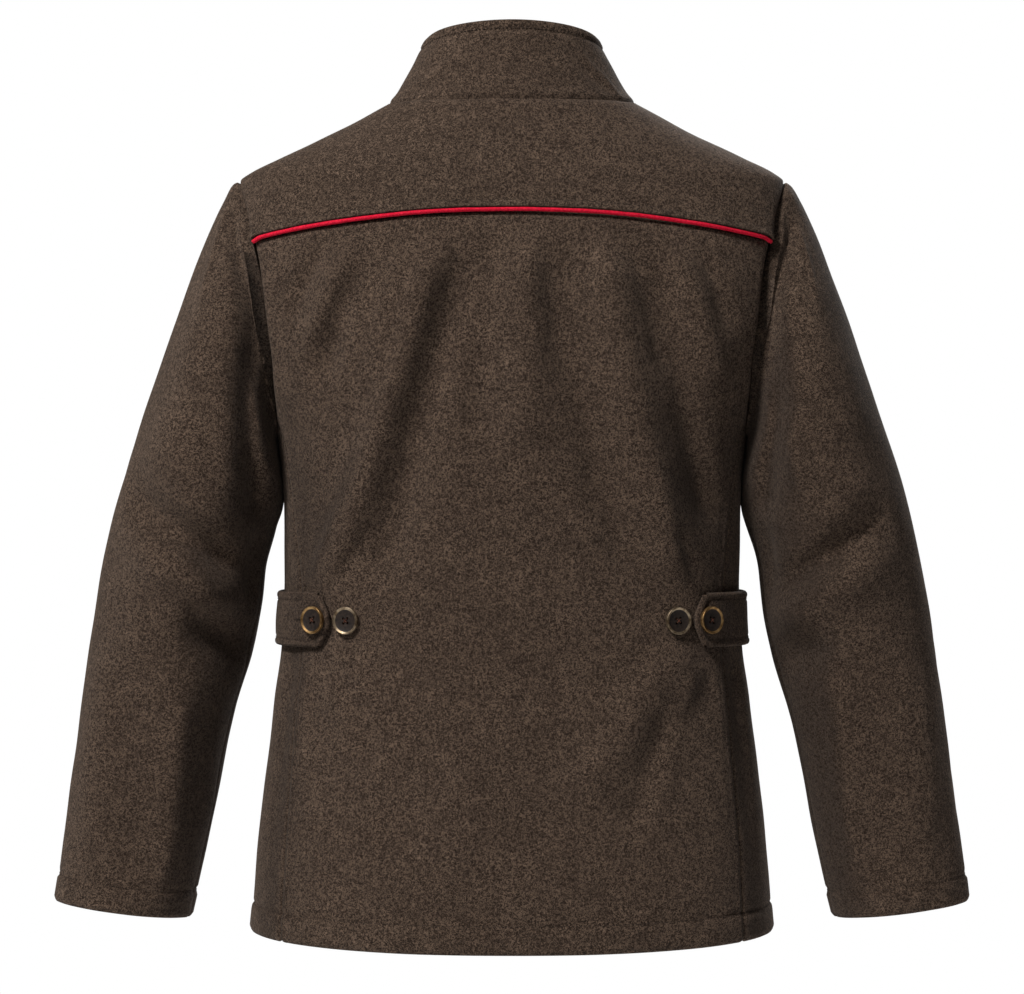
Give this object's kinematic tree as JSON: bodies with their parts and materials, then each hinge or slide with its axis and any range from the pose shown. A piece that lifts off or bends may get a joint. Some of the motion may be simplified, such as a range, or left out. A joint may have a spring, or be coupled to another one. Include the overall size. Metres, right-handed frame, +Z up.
{
  "type": "tyrolean loden jacket",
  "caption": "Worn-form loden jacket with stand collar, piped back yoke, buttoned waist tabs and button front, hollow inside.",
  "frame": {"origin": "middle of the neck base, level with the neck ends of the shoulder seams, where the wearer's shoulders and neck hold the jacket up", "axes": "+Z up, the wearer faces -Y, the wearer's left is +X"},
  "size_m": [0.783, 0.2504, 0.7662],
  "materials": {
    "loden": "fulled, napped wool in heathered dark brown",
    "piping": "crimson felt piping",
    "horn": "polished horn-like rim, matte dark centre"
  },
  "bodies": {
    "root": {"back_yoke": "loden", "back_panel": "loden", "front_left": "loden", "front_right": "loden", "collar": "loden", "top_sleeve_left": "loden", "under_sleeve_left": "loden", "top_sleeve_right": "loden", "under_sleeve_right": "loden", "tab_left": "loden", "tab_right": "loden", "yoke_piping": "piping", "tab_button_left": "horn", "tab_button_right": "horn", "back_button_left": "horn", "back_button_right": "horn", "front_button_1": "horn", "front_button_2": "horn", "front_button_3": "horn", "front_button_4": "horn", "front_button_5": "horn", "front_button_6": "horn"}
  },
  "joints": []
}
